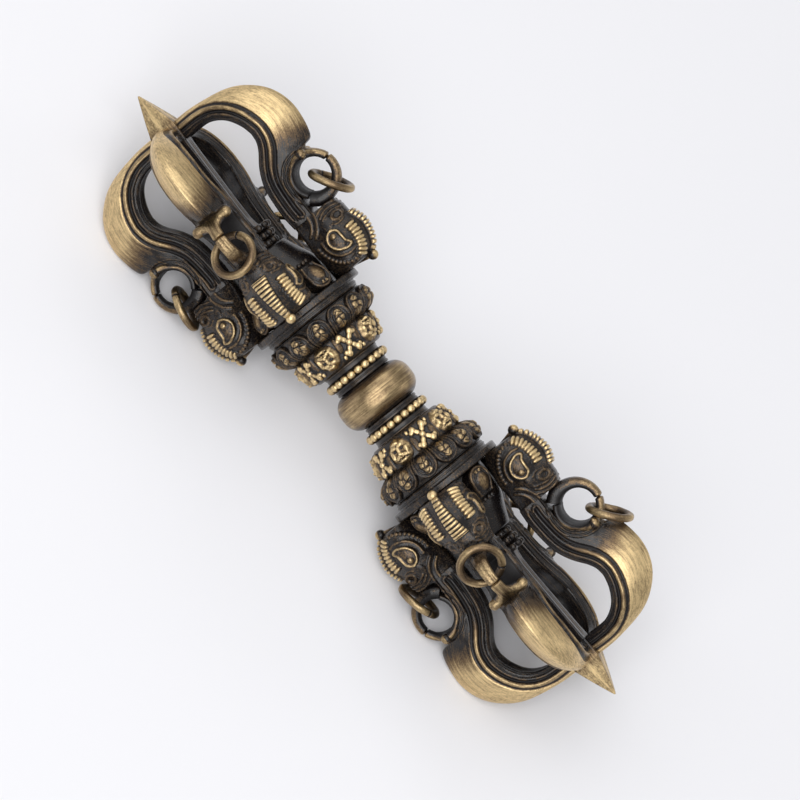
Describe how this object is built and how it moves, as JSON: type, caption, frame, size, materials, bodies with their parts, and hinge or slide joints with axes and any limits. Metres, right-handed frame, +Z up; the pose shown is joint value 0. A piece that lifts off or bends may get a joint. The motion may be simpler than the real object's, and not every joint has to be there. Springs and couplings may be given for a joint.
{
  "type": "dorje vajra",
  "caption": "Brass ritual sceptre with a central bead, lotus tiers, makara heads holding curved prongs round a spike at each end, and loose rings in the prongs' loops.",
  "frame": {"origin": "middle of the central bead, which is also the centre of mass", "axes": "+X along the long axis to the end at the picture's lower right, +Z up, lying on two prongs of each end"},
  "size_m": [0.15, 0.038, 0.0365],
  "materials": {
    "rubbed_brass": "antique brass, rubbed bright on bulges and ridges and dark in the grooves",
    "dark_brass": "antique brass with a dark patina in the carving and rubbed high spots",
    "ring_wire": "rubbed antique brass wire",
    "rod": "plain turned brass"
  },
  "bodies": {
    "vajra": {"core_rod": "rod", "centre_bead": "rubbed_brass", "right_pearl_collar": "dark_brass", "right_face_tier": "dark_brass", "right_lotus_ring": "dark_brass", "right_rim_disc": "dark_brass", "right_hub": "dark_brass", "right_spike": "rubbed_brass", "left_pearl_collar": "dark_brass", "left_face_tier": "dark_brass", "left_lotus_ring": "dark_brass", "left_rim_disc": "dark_brass", "left_hub": "dark_brass", "left_spike": "rubbed_brass", "right_makara_up_back": "dark_brass", "right_makara_up_front": "dark_brass", "right_makara_down_front": "dark_brass", "right_makara_down_back": "dark_brass", "left_makara_up_back": "dark_brass", "left_makara_up_front": "dark_brass", "left_makara_down_front": "dark_brass", "left_makara_down_back": "dark_brass", "right_prong_up_back": "rubbed_brass", "right_prong_up_front": "rubbed_brass", "right_prong_down_front": "rubbed_brass", "right_prong_down_back": "rubbed_brass", "left_prong_up_back": "rubbed_brass", "left_prong_up_front": "rubbed_brass", "left_prong_down_front": "rubbed_brass", "left_prong_down_back": "rubbed_brass"},
    "right_ring_up_back": {"right_ring_up_back": "ring_wire"},
    "right_ring_up_front": {"right_ring_up_front": "ring_wire"},
    "right_ring_down_front": {"right_ring_down_front": "ring_wire"},
    "right_ring_down_back": {"right_ring_down_back": "ring_wire"},
    "left_ring_up_back": {"left_ring_up_back": "ring_wire"},
    "left_ring_up_front": {"left_ring_up_front": "ring_wire"},
    "left_ring_down_front": {"left_ring_down_front": "ring_wire"},
    "left_ring_down_back": {"left_ring_down_back": "ring_wire"}
  },
  "joints": [
    {"name": "right_up_back_ring_turn", "type": "hinge", "parent": "vajra", "child": "right_ring_up_back", "pos_m": [0.0414, 0.01273, 0.01273], "axis": [0, -0.7071, 0.7071], "range_deg": [0, 125]},
    {"name": "right_up_front_ring_turn", "type": "hinge", "parent": "vajra", "child": "right_ring_up_front", "pos_m": [0.0414, -0.01273, 0.01273], "axis": [0, 0.7071, 0.7071], "range_deg": [-17, 103]},
    {"name": "right_down_front_ring_turn", "type": "hinge", "parent": "vajra", "child": "right_ring_down_front", "pos_m": [0.0414, -0.01273, -0.01273], "axis": [0, -0.7071, 0.7071], "range_deg": [0, 124]},
    {"name": "right_down_back_ring_turn", "type": "hinge", "parent": "vajra", "child": "right_ring_down_back", "pos_m": [0.0414, 0.01273, -0.01273], "axis": [0, -0.7071, -0.7071], "range_deg": [0, 124]},
    {"name": "left_up_back_ring_turn", "type": "hinge", "parent": "vajra", "child": "left_ring_up_back", "pos_m": [-0.0414, 0.01273, 0.01273], "axis": [0, -0.7071, 0.7071], "range_deg": [-17, 103]},
    {"name": "left_up_front_ring_turn", "type": "hinge", "parent": "vajra", "child": "left_ring_up_front", "pos_m": [-0.0414, -0.01273, 0.01273], "axis": [0, -0.7071, -0.7071], "range_deg": [-17, 103]},
    {"name": "left_down_front_ring_turn", "type": "hinge", "parent": "vajra", "child": "left_ring_down_front", "pos_m": [-0.0414, -0.01273, -0.01273], "axis": [0, 0.7071, -0.7071], "range_deg": [0, 124]},
    {"name": "left_down_back_ring_turn", "type": "hinge", "parent": "vajra", "child": "left_ring_down_back", "pos_m": [-0.0414, 0.01273, -0.01273], "axis": [0, 0.7071, 0.7071], "range_deg": [0, 124]}
  ]
}
